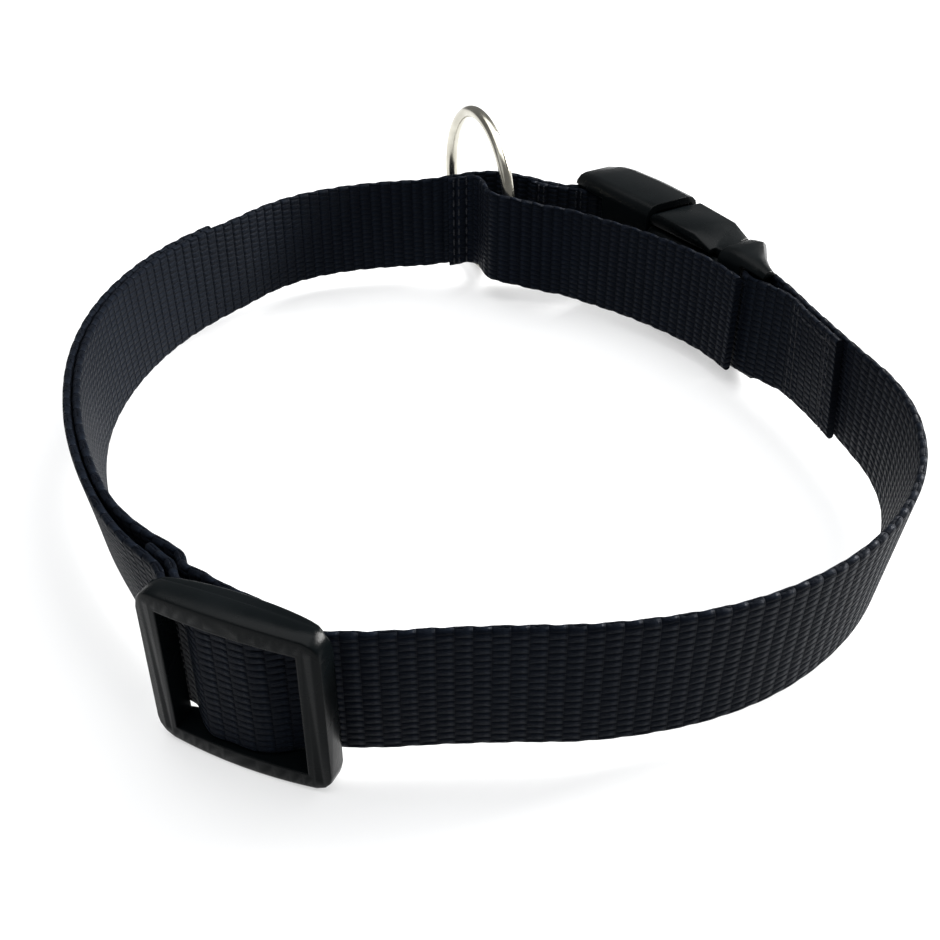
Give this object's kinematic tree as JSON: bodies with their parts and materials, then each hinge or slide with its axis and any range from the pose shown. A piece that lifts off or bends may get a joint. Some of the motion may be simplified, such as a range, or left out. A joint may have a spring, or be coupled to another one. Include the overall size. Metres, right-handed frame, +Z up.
{
  "type": "dog collar",
  "caption": "Adjustable flat dog collar of dark webbing, closed by a side-release buckle, with a slide adjuster, a guard strip behind the buckle and a round lead ring.",
  "frame": {"origin": "middle of the footprint, on the surface that the collar lies on", "axes": "+Z up, along the webbing's width; +Y from the front, where the slide adjuster is, to the back, where the lead ring is; +X to the right, where the buckle is"},
  "size_m": [0.1724, 0.2171, 0.0462],
  "materials": {
    "webbing_long": "woven polyester webbing, navy black",
    "webbing_short": "woven polyester webbing, navy black",
    "webbing_guard": "woven polyester webbing, navy black",
    "plastic_adjuster": "moulded acetal, semi-matt black",
    "plastic_socket": "moulded acetal, semi-matt black",
    "plastic_plug": "moulded acetal, semi-matt black",
    "plated_ring": "nickel-plated steel"
  },
  "bodies": {
    "collar": {"strap_long": "webbing_long", "strap_short": "webbing_short", "guard_strip": "webbing_guard", "slide_adjuster": "plastic_adjuster", "buckle_socket": "plastic_socket", "buckle_plug": "plastic_plug"},
    "ring": {"lead_ring": "plated_ring"}
  },
  "joints": [
    {"name": "ring_swing", "type": "hinge", "parent": "collar", "child": "ring", "pos_m": [0.00448, 0.07994, 0.0232], "axis": [0, 0, 1], "range_deg": [-5, 8]}
  ]
}
